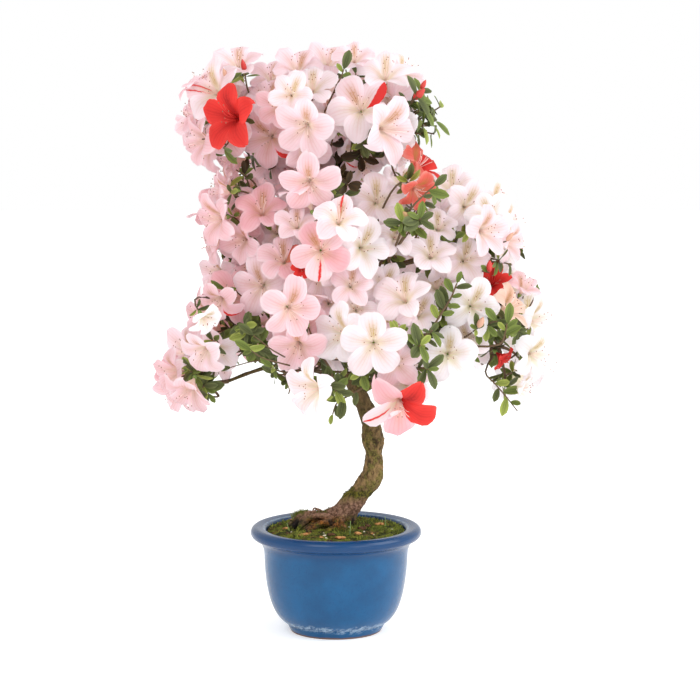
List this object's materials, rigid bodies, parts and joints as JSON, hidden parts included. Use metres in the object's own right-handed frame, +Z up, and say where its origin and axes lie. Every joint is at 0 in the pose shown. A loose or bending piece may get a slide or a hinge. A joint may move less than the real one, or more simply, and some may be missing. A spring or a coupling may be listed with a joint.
{
  "type": "azalea bonsai in pot",
  "caption": "Small azalea tree in full pink, white and red flower, with a bent trunk and spreading boughs, standing in soil in a round blue glazed pot.",
  "frame": {"origin": "centre of the pot's flat underside", "axes": "+Z up along the pot's axis, +X to the right and -Y towards the viewer as the picture shows it"},
  "size_m": [0.4273, 0.3154, 0.5868],
  "materials": {
    "glaze": "glossy blue glaze, pale where it thins",
    "soil": "moss over damp planting mix",
    "bark": "rough brown bark with mossy patches",
    "blossom": "soft petals with green leaves and brown twigs"
  },
  "bodies": {
    "root": {"back_left": "blossom", "back_right": "blossom", "bough_back_left": "bark", "bough_back_right": "bark", "bough_crown_back": "bark", "bough_crown_left": "bark", "bough_crown_right": "bark", "bough_far_left": "bark", "bough_far_right": "bark", "bough_low_centre": "bark", "bough_low_front": "bark", "bough_low_left": "bark", "bough_low_right": "bark", "bough_mid_back": "bark", "bough_mid_back_left": "bark", "bough_mid_front": "bark", "bough_mid_left": "bark", "bough_mid_right": "bark", "bough_right_shoulder": "bark", "crown_back": "blossom", "crown_left": "blossom", "crown_right": "blossom", "crown_top": "blossom", "far_left": "blossom", "far_right": "blossom", "low_centre": "blossom", "low_front": "blossom", "low_left": "blossom", "low_right": "blossom", "mid_back": "blossom", "mid_back_left": "blossom", "mid_front": "blossom", "mid_left": "blossom", "mid_right": "blossom", "pot": "glaze", "right_shoulder": "blossom", "soil": "soil", "trunk": "bark"}
  },
  "joints": []
}
